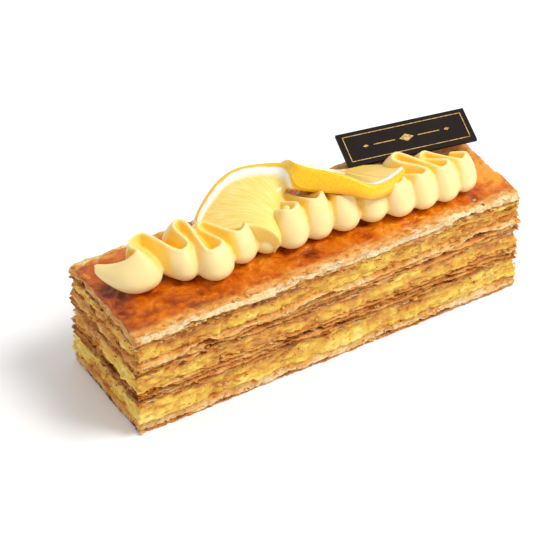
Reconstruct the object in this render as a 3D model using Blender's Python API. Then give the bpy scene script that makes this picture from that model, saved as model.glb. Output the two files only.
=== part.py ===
"""A slice of mille feuille: four bands of flaky pastry, three bands of cream, a piped ribbon of
cream on the glazed lid, a twisted half slice of lemon and a small dark chocolate plaque.

Metres, +Z up. The underside rests on z = 0 with its centre at the origin; the long way is X,
the front is -Y. Lengths in the constants are millimetres and go through MM."""
import math

import bpy
import bmesh
import numpy as np
from mathutils import Vector

MM = 0.001
LENGTH, WIDTH = 120.2, 36.2          # the slice, long way and across
GAP = 0.3                            # air kept between neighbouring pieces
# heights of the seams between the bands, underside first, glazed lid last
SEAMS = (0.0, 3.5, 10.6, 14.5, 20.7, 24.5, 30.9, 33.5)
BANDS = ("pastry_base", "cream_lower", "pastry_lower", "cream_middle",
         "pastry_upper", "cream_upper", "pastry_top")
SWELL = (0.0, -0.5, 0.1, -0.7, 0.0, -0.5, 0.2)      # how far each band's side stands out
SEAM_WAVE = 0.45                     # how far a seam rises and falls
SIDE_WAVE = 0.35                     # how ragged the sides are
LID = SEAMS[-1]

BEAD, LIP = 3.15, 0.8               # radii of the ribbon's fat foot and its thin lip
FOOT_RISE = 3.4                     # centre of the fat foot above the lid
LOOP_X = (-36.9, -29.4, -20.4, -12.6, -5.4, 2.4, 10.5, 18.9, 26.4, 33.6, 40.6, 47.2)
LOOP_WIDE = (2.0, 2.3, 2.2, 1.8, 2.1, 2.0, 1.9, 1.8, 1.8, 1.8, 1.8, 1.7)
LOOP_FRONT = (-4.0, -8.2, -5.6, -5.4, -7.3, -7.3, -8.1, -8.7, -10.5, -11.1, -11.4, -10.4)
LIP_RISE = (9.0, 9.0, 9.4, 6.6, 11.4, 12.0, 10.4, 9.0, 9.6, 10.2, 10.4, 9.8)
TURN_X = (-44.8, -33.9, -27.0, -18.0, -10.0, -2.0, 5.5, 13.0, 19.0, 24.6, 32.6, 40.0)
TURN_BACK = (7.0, 6.9, 5.5, 4.5, 4.0, 4.0, 4.0, 4.0, 3.6, 3.4, 2.2, -0.4)
TURN_RISE = (11.0, 11.0, 8.6, 6.2, 7.4, 9.0, 8.0, 6.6, 6.0, 5.6, 10.4, 9.6)

LEMON_R = 28.3                       # radius of the fruit
LEMON_AT = (1.8, 2.35, 41.4)         # middle of the line the slice is twisted about
LEMON_YAW, LEMON_PITCH = -18.05, -15.45
STATIONS = (-1, -0.6, -0.25, 0, 0.25, 0.6, 1)
# lean, rise, drift to the back and shift to the right of the cut edge at those stations
LEMON_TWIST = (77.5, 83.7, 43.4, -47.0, -61.5, -68.2, -67.9)
LEMON_LIFT = (-12.1, -2.8, 1.2, 4.0, 6.5, 6.7, 8.8)
LEMON_SWAY = (0.9, 7.1, 4.5, 2.9, -0.9, -3.7, 0.9)
LEMON_SLIDE = (1.5, 1.2, 2.2, -2.6, 0.3, 0.3, -0.3)
LEMON_THICK = (5.4, 6.0, 6.8, 4.4, 4.5)     # thickness at u = -1, -0.5, 0, 0.5 and 1
UNDERCUT = 0.19                      # how far the cream has worn the hidden face back
LEMON_BACK = 11.0                    # how far back the right lobe reaches
LEMON_HINGE = 0.84                   # where the line lies between the cut edge and the rind

PLAQUE_SIZE = (38.2, 11.6, 1.0)
PLAQUE_FOOT = (41.1, 6.0, 37.9)     # middle of its lower edge
PLAQUE_TURN, PLAQUE_LEAN = -11.6, 74.0


def clear_scene():
    for obj in list(bpy.data.objects):
        bpy.data.objects.remove(obj, do_unlink=True)


def make_material(name, colour, roughness, coat=0.0, subsurface=0.0):
    """A plain Principled surface in linear colour."""
    mat = bpy.data.materials.new(name)
    mat.use_nodes = True
    shader = mat.node_tree.nodes["Principled BSDF"]
    shader.inputs["Base Color"].default_value = (*colour, 1.0)
    shader.inputs["Roughness"].default_value = roughness
    shader.inputs["Coat Weight"].default_value = coat
    shader.inputs["Subsurface Weight"].default_value = subsurface
    return mat


def mesh_object(name, points, faces, material, smooth=True):
    """Make an object from points in millimetres, with every face turned outward."""
    mesh = bpy.data.meshes.new(name)
    mesh.from_pydata([tuple(c * MM for c in p) for p in points], [], faces)
    bm = bmesh.new()
    bm.from_mesh(mesh)
    bmesh.ops.remove_doubles(bm, verts=bm.verts, dist=1e-6)
    bmesh.ops.recalc_face_normals(bm, faces=bm.faces)
    bm.to_mesh(mesh)
    bm.free()
    obj = bpy.data.objects.new(name, mesh)
    bpy.context.collection.objects.link(obj)
    obj.data.materials.append(material)
    if smooth:
        obj.data.shade_smooth()
        obj.data.set_sharp_from_angle(angle=math.radians(40))
    return obj


# ---- the bands ---------------------------------------------------------------------------
def seam_height(k, x, y):
    """Height of seam k: flat underneath, gently waved between the bands."""
    if k == 0:
        return 0.0
    amount = SEAM_WAVE if k < 7 else 0.2
    wave = (math.sin(0.105 * x + 1.9 * k) + 0.7 * math.sin(0.231 * x - 0.17 * y + 2.7 * k)
            + 0.5 * math.sin(0.37 * y + 0.05 * x + 0.8 * k))
    return SEAMS[k] + amount * wave / 2.2


def side_reach(k, run):
    """How far band k stands out of the plain block at a place along its outline."""
    return SWELL[k] + SIDE_WAVE * (math.sin(0.29 * run + 2.3 * k)
                                   + 0.6 * math.sin(0.71 * run + 1.1 * k)) / 1.6


def make_band(k, material):
    """One band: a grid on each face, drawn out to a ragged outline, and a wall between."""
    nx, ny = 24, 6
    half_x, half_y = LENGTH / 2, WIDTH / 2
    points, faces = [], []
    for layer in (0, 1):
        lift = GAP / 2 if layer == 0 else -GAP / 2
        if (k, layer) in ((0, 0), (6, 1)):
            lift = 0.0
        for i in range(nx + 1):
            for j in range(ny + 1):
                u, v = 2 * i / nx - 1, 2 * j / ny - 1
                x, y = u * half_x, v * half_y
                out_x = side_reach(k, y + 40 * k) * abs(u) ** 6 * (1 if u > 0 else -1)
                out_y = side_reach(k, x) * abs(v) ** 4 * (1 if v > 0 else -1)
                x, y = x + out_x, y + out_y
                points.append((x, y, seam_height(k + layer, x, y) + lift))
    row, size = ny + 1, (nx + 1) * (ny + 1)
    for i in range(nx):
        for j in range(ny):
            a = i * row + j
            faces.append((a, a + 1, a + row + 1, a + row))
            faces.append((a + size, a + row + size, a + row + 1 + size, a + 1 + size))
    rim = ([i * row for i in range(nx)] + [nx * row + j for j in range(ny)]
           + [i * row + ny for i in range(nx, 0, -1)] + [j for j in range(ny, 0, -1)])
    for a, b in zip(rim, rim[1:] + rim[:1]):
        faces.append((a, b, b + size, a + size))
    return mesh_object(BANDS[k], points, faces, material)


# ---- the piped ribbon --------------------------------------------------------------------
def through(points, steps):
    """Points along a smooth curve through the given ones."""
    p = [Vector(q) for q in points]
    p = [2 * p[0] - p[1]] + p + [2 * p[-1] - p[-2]]
    out = []
    for i in range(1, len(p) - 2):
        for s in range(steps):
            t = s / steps
            out.append(0.5 * (2 * p[i] + (p[i + 1] - p[i - 1]) * t
                              + (2 * p[i - 1] - 5 * p[i] + 4 * p[i + 1] - p[i + 2]) * t * t
                              + (3 * p[i] - p[i - 1] - 3 * p[i + 1] + p[i + 2]) * t**3))
    out.append(p[-2])
    return out


def ribbon_course():
    """The way of the fat foot and of the thin lip, as two lists of points in step."""
    foot_z = LID + FOOT_RISE
    foot = [(-58.4, 5.9, foot_z + 0.9), (-56.2, 2.4, foot_z + 0.4), (-52.6, -1.2, foot_z),
            (-46.9, -1.6, foot_z), (-45.0, 2.6, foot_z), (-46.2, 5.6, foot_z)]
    lip = [(-58.7, 6.6, LID + 6.4), (-55.8, 3.5, LID + 7.4), (-52.4, 0.7, LID + 9.4),
           (-49.2, 0.4, LID + 11.6), (-49.8, 3.4, LID + 11.2), (-48.4, 6.0, LID + 11.0)]
    for n, (x, y) in enumerate(zip(LOOP_X, LOOP_FRONT)):
        tx, ty, wide = TURN_X[n], TURN_BACK[n], LOOP_WIDE[n]
        foot += [(tx - 0.2, ty + 1.0, foot_z), (tx + 1.8, ty - 0.8, foot_z),
                 (x - wide, y + 2.6, foot_z), (x, y + 0.2, foot_z),
                 (x + wide, y + 2.8, foot_z)]
        rise, high = LID + LIP_RISE[n], LID + TURN_RISE[n]
        lip += [(tx, ty, high), (tx + 1.9, ty - 2.4, high),
                (x - wide - 0.2, y + 2.6, rise + 0.2), (x + 0.2, y + 1.5, rise),
                (x + wide + 0.3, y + 3.0, rise + 0.5)]
        if n + 1 < len(LOOP_X):
            bx, by = TURN_X[n + 1], TURN_BACK[n + 1]
            foot.append((bx - 1.5, by - 1.4, foot_z))
            lip.append((bx - 1.9, by - 2.6, LID + TURN_RISE[n + 1]))
    foot.append((47.0, -3.8, foot_z))
    lip.append((46.2, -3.8, LID + TURN_RISE[-1] - 0.6))
    return foot, lip


def make_ribbon(material, voxel, steps=4):
    """Sweep a teardrop along the two courses, weld it where it meets itself, thin it out."""
    foot, lip = (through(way, steps) for way in ribbon_course())
    count, arc = len(foot), 7
    points, faces = [], []
    for i in range(count):
        ahead = (foot[min(i + 1, count - 1)] - foot[max(i - 1, 0)]).normalized()
        rise = (lip[i] - foot[i]).normalized()
        side = ahead.cross(rise).normalized()
        taper = min(1.0, 0.25 + i / (3.0 * steps), 0.45 + (count - 1 - i) / (2.0 * steps))
        for j in range(arc):
            a = math.pi * j / (arc - 1)
            points.append(foot[i] + BEAD * taper * (math.cos(a) * side - math.sin(a) * rise))
        for j in range(arc):
            a = math.pi * j / (arc - 1)
            points.append(lip[i] + LIP * (math.sin(a) * rise - math.cos(a) * side))
    ring = 2 * arc
    for i in range(count - 1):
        for j in range(ring):
            a, b = i * ring + j, i * ring + (j + 1) % ring
            faces.append((a, b, b + ring, a + ring))
    faces.append(tuple(range(ring)))
    faces.append(tuple(range((count - 1) * ring, count * ring)))
    obj = mesh_object("piped_cream", points, faces, material)
    bpy.context.view_layer.objects.active = obj
    weld = obj.modifiers.new("weld", "REMESH")
    weld.mode, weld.voxel_size = "VOXEL", voxel * MM
    soften = obj.modifiers.new("soften", "SMOOTH")
    soften.factor, soften.iterations = 0.5, 3
    bpy.ops.object.modifier_apply(modifier="weld")
    bpy.ops.object.modifier_apply(modifier="soften")
    return obj


def thin_out(obj, triangles):
    """Collapse a mesh to about the given number of triangles."""
    have = sum(len(p.vertices) - 2 for p in obj.data.polygons)
    if have <= triangles:
        return
    few = obj.modifiers.new("thin out", "DECIMATE")
    few.ratio = triangles / have
    few.use_collapse_triangulate = True
    bpy.context.view_layer.objects.active = obj
    bpy.ops.object.modifier_apply(modifier="thin out")


# ---- the lemon ---------------------------------------------------------------------------
def lemon_point(u, w, side, extra=0.0, beyond=0.0):
    """A point of the slice: u along the cut edge and w from it to the rind, both in parts of
    the radius; side is -1 or 1 for the two faces; extra swells them outward and beyond moves
    the point on along the cut edge."""
    yaw, pitch = math.radians(LEMON_YAW), math.radians(LEMON_PITCH)
    along = np.array([math.cos(yaw) * math.cos(pitch), math.sin(yaw) * math.cos(pitch),
                      math.sin(pitch)])
    back = np.array([-math.sin(yaw), math.cos(yaw), 0.0])
    up = np.cross(along, back)
    lean = math.radians(natural(STATIONS, LEMON_TWIST, u))
    thick = natural((-1, -0.5, 0, 0.5, 1), LEMON_THICK, u) / 2 + extra
    reach = math.cos(lean) * up + math.sin(lean) * back
    face = math.sin(lean) * up - math.cos(lean) * back
    hinge = LEMON_HINGE * math.sqrt(max(0.0, 1 - u * u))
    run = u * LEMON_R + natural(STATIONS, LEMON_SLIDE, u) + beyond
    return (np.array(LEMON_AT) + run * along + (w - hinge) * LEMON_R * reach
            + natural(STATIONS, LEMON_LIFT, u) * up + natural(STATIONS, LEMON_SWAY, u) * back
            + side * thick * face)


def natural(stations, values, at):
    """The natural cubic spline through a few values."""
    s, v = np.asarray(stations, float), np.asarray(values, float)
    n, h = len(s), np.diff(np.asarray(stations, float))
    m, r = np.eye(n), np.zeros(n)
    for i in range(1, n - 1):
        m[i, i - 1:i + 2] = h[i - 1], 2 * (h[i - 1] + h[i]), h[i]
        r[i] = 6 * ((v[i + 1] - v[i]) / h[i] - (v[i] - v[i - 1]) / h[i - 1])
    c = np.linalg.solve(m, r)
    i = int(np.clip(np.searchsorted(s, at) - 1, 0, n - 2))
    a, b = (s[i + 1] - at) / h[i], (at - s[i]) / h[i]
    return a * v[i] + b * v[i + 1] + ((a**3 - a) * c[i] + (b**3 - b) * c[i + 1]) * h[i]**2 / 6


def too_near(point, margin):
    """Whether a point of the slice comes too near the lid or the foot of the plaque."""
    x, y, z = point
    plaque_y = PLAQUE_FOOT[1] + (x - PLAQUE_FOOT[0]) * math.tan(math.radians(PLAQUE_TURN))
    return z < LID + margin or (x > 2.5 and y > min(LEMON_BACK, plaque_y - 1.3))


def flesh_floor(u, margin):
    """The least w at station u that keeps the slice clear of the lid and the plaque."""
    top = math.sqrt(1 - u * u)
    w = 0.0
    while w < top - 0.12 and any(too_near(lemon_point(u, w, s), margin) for s in (-1, 1)):
        w += 0.01
    return w


def lemon_mesh(name, material, across=44, deep=6, extra=0.0):
    """The slice, or a copy of it swollen by `extra` on every side."""
    points, faces = [], []
    stations = [-math.cos(math.pi * (i + 0.9) / (across + 0.8)) for i in range(across)]
    for u in stations:
        beyond = extra * {stations[0]: -1, stations[-1]: 1}.get(u, 0)
        floor, top = flesh_floor(u, 0.9), math.sqrt(1 - u * u)
        top += extra / LEMON_R
        for side in (-1, 1):
            low = floor - extra / LEMON_R
            if side < 0:
                low += UNDERCUT * math.exp(-((u + 0.42) / 0.25) ** 2)
            for j in range(deep + 1):
                w = low + (top - low) * j / deep
                points.append(lemon_point(u, w, side, extra, beyond))
    ring, n = 2 * (deep + 1), len(stations)
    for i in range(n - 1):
        a, b = i * ring, (i + 1) * ring
        for j in range(deep):
            faces.append((a + j, a + j + 1, b + j + 1, b + j))
            k = deep + 1 + j
            faces.append((a + k, b + k, b + k + 1, a + k + 1))
        faces.append((a, b, b + deep + 1, a + deep + 1))
        faces.append((a + deep, a + 2 * deep + 1, b + 2 * deep + 1, b + deep))
    for i in (0, n - 1):
        a = i * ring
        for j in range(deep):
            faces.append((a + j, a + j + 1, a + deep + 2 + j, a + deep + 1 + j))
    return mesh_object(name, points, faces, material)


# ---- the plaque --------------------------------------------------------------------------
def make_plaque(name, material, extra=0.0):
    """A thin leaning plate, its lower edge pushed into the back of the cream."""
    long_way, tall, thick = (s / 2 for s in PLAQUE_SIZE)
    turn, lean = math.radians(PLAQUE_TURN), math.radians(PLAQUE_LEAN)
    along = Vector((math.cos(turn), math.sin(turn), 0))
    up = (Vector((-math.sin(turn), math.cos(turn), 0)) * math.sin(lean)
          + Vector((0, 0, math.cos(lean))))
    face = along.cross(up)
    middle = Vector(PLAQUE_FOOT) + up * tall
    e = extra
    points = [middle + along * a * (long_way + e) + up * b * (tall + e) + face * c * (thick + e)
              for c in (-1, 1) for b in (-1, 1) for a in (-1, 1)]
    faces = [(0, 1, 3, 2), (4, 6, 7, 5), (0, 4, 5, 1), (2, 3, 7, 6), (0, 2, 6, 4), (1, 5, 7, 3)]
    return mesh_object(name, points, faces, material, smooth=False)


def cut(body, cutter):
    """Take the cutter's volume out of the body, then do away with the cutter."""
    weld_again(cutter, 0.4)
    thin_out(cutter, 2600)
    take = body.modifiers.new("clear of " + cutter.name, "BOOLEAN")
    take.operation, take.object = "DIFFERENCE", cutter
    bpy.context.view_layer.objects.active = body
    bpy.ops.object.modifier_apply(modifier=take.name)
    bpy.data.objects.remove(cutter, do_unlink=True)


def weld_again(obj, voxel):
    """Even out the mesh after cutting, so that it thins out cleanly."""
    weld = obj.modifiers.new("weld", "REMESH")
    weld.mode, weld.voxel_size = "VOXEL", voxel * MM
    bpy.context.view_layer.objects.active = obj
    bpy.ops.object.modifier_apply(modifier="weld")


def keep_largest(obj):
    """Drop crumbs the cutting has set loose."""
    bm = bmesh.new()
    bm.from_mesh(obj.data)
    left, groups = set(bm.verts), []
    while left:
        stack, group = [left.pop()], []
        while stack:
            v = stack.pop()
            group.append(v)
            for e in v.link_edges:
                w = e.other_vert(v)
                if w in left:
                    left.remove(w)
                    stack.append(w)
        groups.append(group)
    groups.sort(key=len)
    for g in groups:
        middle = sum((v.co for v in g), Vector()) / len(g) / MM
        print(obj.name, "piece of", len(g), "points about", [round(c, 1) for c in middle])
    bmesh.ops.delete(bm, geom=[v for g in groups[:-1] for v in g], context="VERTS")
    bm.to_mesh(obj.data)
    bm.free()


def main():
    clear_scene()
    pastry = make_material("flaky pastry", (0.52, 0.27, 0.08), 0.75)
    glaze = make_material("glazed lid", (0.55, 0.17, 0.03), 0.25, coat=0.6)
    cream = make_material("pastry cream", (0.88, 0.62, 0.13), 0.4, subsurface=0.2)
    piped = make_material("piped butter cream", (0.93, 0.74, 0.32), 0.45, subsurface=0.2)
    lemon = make_material("lemon", (0.91, 0.66, 0.03), 0.3, coat=0.3, subsurface=0.2)
    dark = make_material("dark chocolate", (0.018, 0.010, 0.006), 0.35)
    for k in range(7):
        make_band(k, (glaze if k == 6 else pastry) if k % 2 == 0 else cream)
    lemon_mesh("lemon_slice", lemon)
    make_plaque("chocolate_plaque", dark)
    ribbon = make_ribbon(piped, 0.55)
    thin_out(ribbon, 2700)
    cut(ribbon, lemon_mesh("lemon_guide", lemon, extra=3.4 * GAP))
    cut(ribbon, make_plaque("plaque_guide", dark, extra=2 * GAP))
    keep_largest(ribbon)
    for obj in bpy.data.objects:
        tris = sum(len(p.vertices) - 2 for p in obj.data.polygons)
        print(obj.name, "triangles", tris)


main()
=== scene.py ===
# %% Load the measured model
import math
from itertools import product

import bpy
import bmesh
import numpy as np
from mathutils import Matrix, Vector


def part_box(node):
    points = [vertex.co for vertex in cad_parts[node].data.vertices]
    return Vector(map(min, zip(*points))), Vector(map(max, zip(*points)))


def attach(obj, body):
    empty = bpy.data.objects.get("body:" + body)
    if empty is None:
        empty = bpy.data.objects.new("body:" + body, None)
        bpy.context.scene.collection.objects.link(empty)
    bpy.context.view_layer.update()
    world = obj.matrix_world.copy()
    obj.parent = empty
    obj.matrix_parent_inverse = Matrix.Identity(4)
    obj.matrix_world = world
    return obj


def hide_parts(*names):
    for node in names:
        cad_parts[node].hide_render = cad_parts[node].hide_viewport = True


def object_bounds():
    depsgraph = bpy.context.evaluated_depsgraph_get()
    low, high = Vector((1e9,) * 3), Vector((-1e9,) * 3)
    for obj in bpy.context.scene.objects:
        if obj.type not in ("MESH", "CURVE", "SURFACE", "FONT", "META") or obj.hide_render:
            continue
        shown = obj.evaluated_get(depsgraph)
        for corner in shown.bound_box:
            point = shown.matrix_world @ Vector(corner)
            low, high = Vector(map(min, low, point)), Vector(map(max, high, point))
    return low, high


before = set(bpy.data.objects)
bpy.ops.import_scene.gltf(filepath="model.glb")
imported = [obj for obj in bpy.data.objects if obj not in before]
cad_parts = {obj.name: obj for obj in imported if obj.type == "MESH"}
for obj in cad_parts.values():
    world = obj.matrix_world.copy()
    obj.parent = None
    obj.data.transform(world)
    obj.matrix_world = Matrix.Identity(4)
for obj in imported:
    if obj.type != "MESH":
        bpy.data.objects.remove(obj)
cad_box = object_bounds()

MM = 0.001
print("measured model, mm:", [[round(c / MM, 1) for c in corner] for corner in cad_box])

# %% [markdown]
# # A slice of mille feuille, dressed for its portrait
# Mille feuille is four sheets of flaky pastry with custard between them. The lid is glazed with
# caramel, a ribbon of butter cream is piped along it, and half a slice of lemon is twisted into
# the ribbon in front of a little chocolate plaque.
#
# The measured solids give every piece its place and size. They are plain, so each one is
# replaced here by a finer piece with real leaves, folds and pores. This first cell holds the
# helpers that all pieces share: one that reads a solid's box in millimetres, and one that clears
# the selection, because Blender's operators act on everything that is selected.

# %% Helpers for places and selections
def box_mm(node):
    low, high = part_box(node)
    return np.array(low) / MM, np.array(high) / MM


def only(obj):
    """Select this object and nothing else, and make it the active one."""
    if bpy.context.object and bpy.context.object.mode != "OBJECT":
        bpy.ops.object.mode_set(mode="OBJECT")
    bpy.ops.object.select_all(action="DESELECT")
    obj.select_set(True)
    bpy.context.view_layer.objects.active = obj
    return obj


def drop_selection():
    if bpy.context.object and bpy.context.object.mode != "OBJECT":
        bpy.ops.object.mode_set(mode="OBJECT")
    bpy.ops.object.select_all(action="DESELECT")


def points_of(obj):
    """The object's vertices in millimetres, as a numpy table."""
    out = np.empty(len(obj.data.vertices) * 3)
    obj.data.vertices.foreach_get("co", out)
    return out.reshape(-1, 3) / MM


def set_points(obj, points):
    obj.data.vertices.foreach_set("co", (np.asarray(points) * MM).ravel())
    obj.data.update()


def mark(obj, name, values):
    """Keep one number per vertex under a name that a material can read."""
    layer = obj.data.attributes.get(name) or obj.data.attributes.new(name, "FLOAT", "POINT")
    layer.data.foreach_set("value", np.asarray(values, float))


def apply_all(obj):
    only(obj)
    for modifier in list(obj.modifiers):
        bpy.ops.object.modifier_apply(modifier=modifier.name)


def finish_piece(obj, name, material, slot, *nodes):
    """Name the piece, give it its finish, and hang it on the body in place of its solid."""
    obj.name = obj.data.name = name
    obj.data.materials.clear()
    obj.data.materials.append(material)
    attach(obj, "root")
    if nodes:
        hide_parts(*nodes)
    print(name, sum(len(p.vertices) - 2 for p in obj.data.polygons), "triangles")
    return obj


blocks = ["pastry_base", "cream_lower", "pastry_lower", "cream_middle",
          "pastry_upper", "cream_upper", "pastry_top"]
box_low = np.array(cad_box[0]) / MM
box_high = np.array(cad_box[1]) / MM
LENGTH, WIDTH = 120.2, 36.2
for name in blocks:
    low, high = box_mm(name)
    print(name, "from", round(low[2], 1), "to", round(high[2], 1), "mm")

# %% [markdown]
# ## Unevenness
# Nothing baked is straight. The torn edges, blisters and smears all come from one function: it
# gives every point a random value that changes smoothly over a chosen distance. The distance can
# differ along each axis, so that a smear can be long and low. Each piece passes its own seed.

# %% A smooth random value for every point
def unevenness(points, size, seed=0, octaves=3):
    """Values of about -1 to 1 that vary over `size` millimetres, one number or one per axis."""
    points = np.asarray(points, float) / np.asarray(size, float)
    total, weight, norm = np.zeros(len(points)), 1.0, 0.0
    for octave in range(octaves):
        q = points * 2.0**octave + 17.3 * octave + 3.7 * seed
        cell = np.floor(q).astype(np.int64)
        f = q - cell
        f = f * f * (3 - 2 * f)
        for corner in product((0, 1), repeat=3):
            c = cell + np.array(corner)
            h = (c[:, 0] * 73856093) ^ (c[:, 1] * 19349663) ^ (c[:, 2] * 83492791) ^ (seed * 7919)
            h = (h ^ (h >> 13)) * 1274126177
            h = (h ^ (h >> 16)) & 0xFFFF
            share = np.prod(np.where(corner, f, 1 - f), axis=1)
            total += weight * share * (h / 32767.5 - 1)
        norm += weight * 0.6
        weight *= 0.5
    return total / norm


# %% [markdown]
# ## Helpers for finishes
# Colours are picked as the hex values seen on a screen, and Blender mixes light in linear
# values, so one function turns them round. A second one adds a shader node, sets it up and
# joins its inputs; every material below is written with it.

# %% Helpers for materials
def tone(hex_colour):
    """An sRGB hex colour as the linear colour that a shader expects."""
    parts = [int(hex_colour[i:i + 2], 16) / 255 for i in (1, 3, 5)]
    return tuple(c / 12.92 if c <= 0.04045 else ((c + 0.055) / 1.055) ** 2.4
                 for c in parts) + (1.0,)


def add(material, kind, inputs=None, out=0, stops=None, **settings):
    """Add a node, set its properties and inputs, and give back one of its outputs."""
    node = material.node_tree.nodes.new("ShaderNode" + kind)
    for key, value in settings.items():
        setattr(node, key, value)
    if stops:
        ramp = node.color_ramp
        while len(ramp.elements) < len(stops):
            ramp.elements.new(0.5)
        for element, (place, colour) in zip(ramp.elements, stops):
            element.position = place
            element.color = tone(colour) if isinstance(colour, str) else (colour,) * 3 + (1,)
    for key, value in (inputs or {}).items():
        socket = node.inputs[key]
        if isinstance(value, bpy.types.NodeSocket):
            material.node_tree.links.new(value, socket)
        elif isinstance(value, str):
            socket.default_value = tone(value)
        else:
            socket.default_value = value
    return node.outputs[out]


def new_finish(name):
    """A material with nothing in it but an output."""
    material = bpy.data.materials.new(name)
    material.use_nodes = True
    material.node_tree.nodes.clear()
    return material


def show(material, shader):
    end = material.node_tree.nodes.new("ShaderNodeOutputMaterial")
    material.node_tree.links.new(shader, end.inputs["Surface"])
    return material


# %% [markdown]
# ## The finish of baked puff pastry
# Puff pastry is flour and butter rolled into leaves and baked: dry, matt and porous, pale where
# the oven did not reach and toasted brown at the torn edges. Each leaf carries a value called
# toast and shade, from 0 for pale dough to 1 for dark crust, and the colour ramp follows it:
# besides the real toasting it holds painted shade under each bed and in the slits. Pores of
# about half a millimetre are dented, and painted shade darkens them.

# %% Baked puff pastry
def baked_pastry():
    mat = new_finish("baked puff pastry")
    where = add(mat, "TexCoord", out="Object")
    toast_and_shade = add(mat, "Attribute", attribute_name="toast_and_shade", out="Fac")
    blotch = add(mat, "TexNoise", {"Vector": where, "Scale": 170.0, "Detail": 4.0,
                                   "Roughness": 0.6}, out="Fac")
    stretched = add(mat, "Mapping", {"Vector": where, "Scale": (0.35, 0.35, 2.2)})
    streak = add(mat, "TexNoise", {"Vector": stretched, "Scale": 900.0, "Detail": 3.0,
                                   "Roughness": 0.55}, out="Fac")
    pores = add(mat, "TexNoise", {"Vector": where, "Scale": 1700.0, "Detail": 2.0,
                                  "Roughness": 0.5}, out="Fac")
    one = add(mat, "Math", {0: blotch, 1: 0.5}, operation="SUBTRACT")
    two = add(mat, "Math", {0: one, 1: 0.8, 2: toast_and_shade}, operation="MULTIPLY_ADD")
    three = add(mat, "Math", {0: streak, 1: 0.5}, operation="SUBTRACT")
    four = add(mat, "Math", {0: three, 1: 0.7, 2: two}, operation="MULTIPLY_ADD", use_clamp=True)
    colour = add(mat, "ValToRGB", {"Fac": four}, stops=[
        (0.0, "#F2D8A6"), (0.2, "#EABC70"), (0.42, "#E2A048"), (0.64, "#CE7A20"),
        (0.86, "#9E5010"), (1.0, "#5E2C0A")])
    # Painted shade: the pores are darkened in colour as well as dented by the bump.
    pit = add(mat, "MapRange", {"Value": pores, "From Min": 0.36, "From Max": 0.5,
                                "To Min": 0.82, "To Max": 1.0})
    shaded = add(mat, "Mix", {0: 1.0, 6: colour, 7: pit}, out=2, data_type="RGBA",
                 blend_type="MULTIPLY")
    relief = add(mat, "Math", {0: pores, 1: streak}, operation="ADD")
    bump = add(mat, "Bump", {"Height": relief, "Strength": 0.7, "Distance": 0.0004})
    shader = add(mat, "BsdfPrincipled", {"Base Color": shaded, "Roughness": 0.62,
                                         "Normal": bump, "Subsurface Weight": 0.12,
                                         "Subsurface Radius": (1.0, 0.5, 0.2),
                                         "Subsurface Scale": 0.0006,
                                         "IOR": 1.45})
    return show(mat, shader)


pastry_finish = baked_pastry()
print("made", pastry_finish.name)

# %% [markdown]
# ## The finish of custard
# Pastry cream is milk, egg yolk and sugar thickened with starch. It is soft, moist and bright
# yellow where it is clean, and dull tan where the knife dragged crumbs of pastry through it and
# where painted shade lies under the pastry above.
# Light enters it a little, which subsurface scattering shows. The drag marks are noise drawn out
# along the slice, about 8 mm long and 1.5 mm high.

# %% Custard
def custard():
    mat = new_finish("custard cream")
    where = add(mat, "TexCoord", out="Object")
    # The dirt and shade value brings real crumbs together with painted shade under the pastry and painted
    # light on the bulges.
    dirt_and_shade = add(mat, "Attribute", attribute_name="dirt_and_shade", out="Fac")
    drawn = add(mat, "Mapping", {"Vector": where, "Scale": (0.3, 0.3, 1.0)})
    smear = add(mat, "TexNoise", {"Vector": drawn, "Scale": 620.0, "Detail": 4.0,
                                  "Roughness": 0.6}, out="Fac")
    crumb = add(mat, "TexNoise", {"Vector": where, "Scale": 1300.0, "Detail": 3.0,
                                  "Roughness": 0.6}, out="Fac")
    sum_ = add(mat, "Math", {0: smear, 1: dirt_and_shade}, operation="ADD")
    level = add(mat, "Math", {0: crumb, 1: 0.45, 2: sum_}, operation="MULTIPLY_ADD")
    colour = add(mat, "ValToRGB", {"Fac": add(mat, "MapRange", {
        "Value": level, "From Min": 0.35, "From Max": 1.5})}, stops=[
        (0.0, "#F7D974"), (0.26, "#E9C24A"), (0.48, "#E2AC3E"), (0.68, "#D69438"),
        (0.86, "#C0782A"), (1.0, "#98561C")])
    relief = add(mat, "Math", {0: smear, 1: crumb}, operation="ADD")
    bump = add(mat, "Bump", {"Height": relief, "Strength": 0.6, "Distance": 0.0005})
    shader = add(mat, "BsdfPrincipled", {"Base Color": colour, "Roughness": 0.38,
                                         "Normal": bump, "Subsurface Weight": 0.3,
                                         "Subsurface Radius": (1.0, 0.6, 0.2),
                                         "Subsurface Scale": 0.0012,
                                         "IOR": 1.42})
    return show(mat, shader)


custard_finish = custard()
print("made", custard_finish.name)

# %% [markdown]
# ## The finish of the caramel glaze
# The lid was dusted with sugar that melted to caramel in the oven. It lies over the blistered
# leaf like varnish: a glossy clear coat over an uneven orange brown. It is darkest where it
# pooled, golden where it is thin, and it stops short of the long sides, where the dough stayed
# dry and almost white. The mesh carries that as a value called glaze.

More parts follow.
